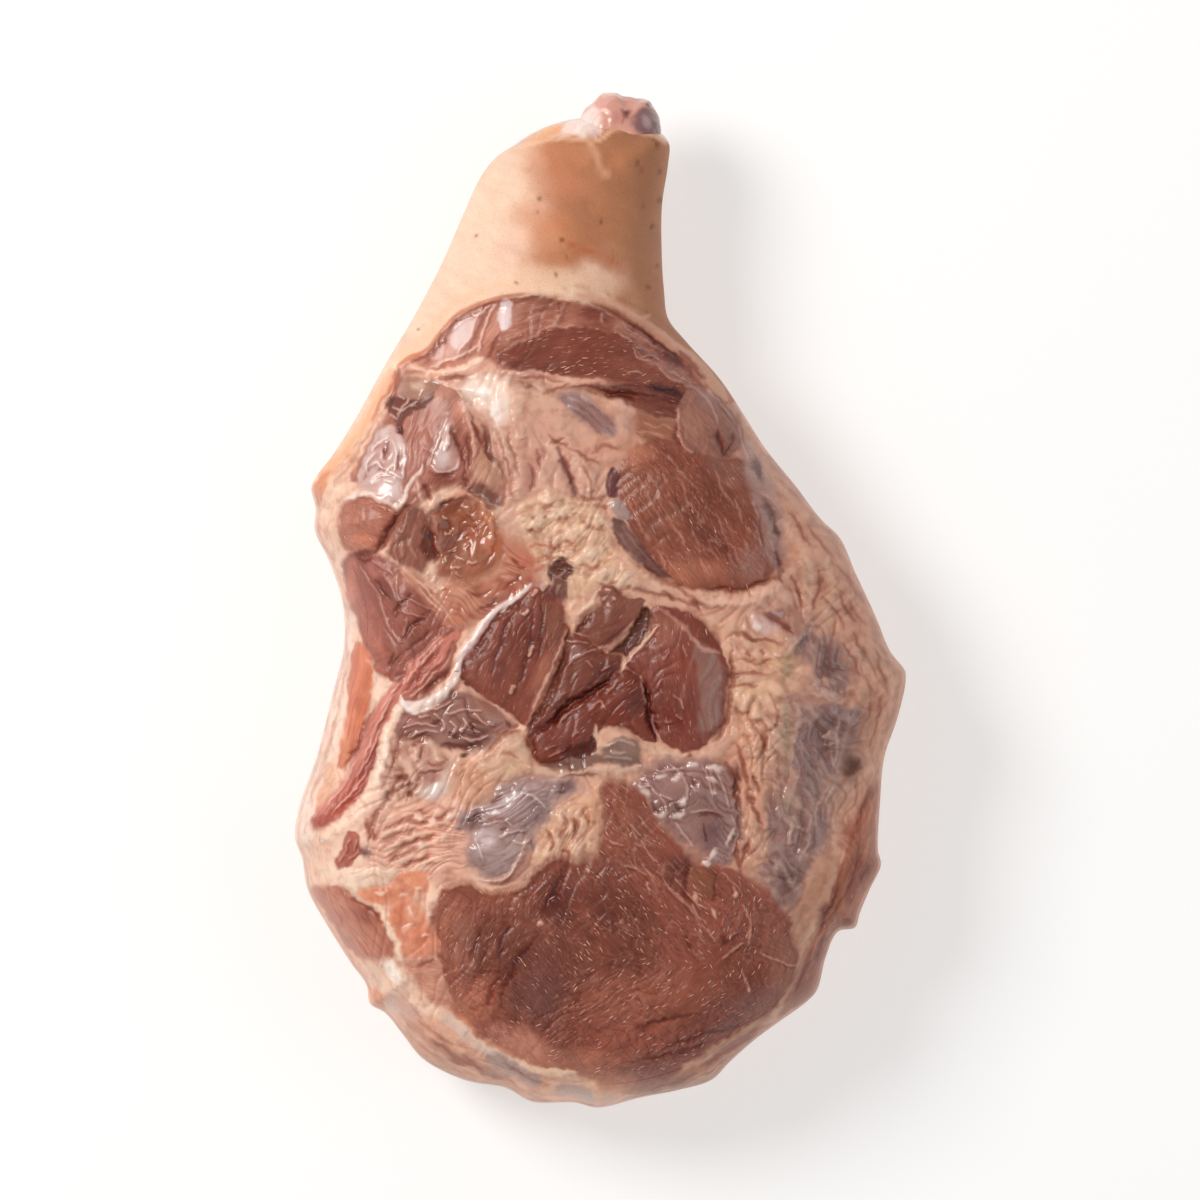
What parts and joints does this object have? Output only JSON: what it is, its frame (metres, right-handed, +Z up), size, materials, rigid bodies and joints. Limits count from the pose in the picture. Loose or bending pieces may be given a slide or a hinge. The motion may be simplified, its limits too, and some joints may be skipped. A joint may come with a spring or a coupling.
{
  "type": "whole pork shoulder",
  "caption": "Raw bone-in pork shoulder with the shank on, lying on its rind with the cut face of muscles, fat and membranes up.",
  "frame": {"origin": "on the surface that the shoulder lies on, under the middle of its length and width", "axes": "+Y along the length towards the shank's joint end, +Z up out of the cut face, +X to the right of the cut face"},
  "size_m": [0.2822, 0.4692, 0.1088],
  "materials": {
    "meat": "satin",
    "bone": "satin"
  },
  "bodies": {
    "root": {"shoulder_meat": "meat", "shank_bone": "bone"}
  },
  "joints": []
}
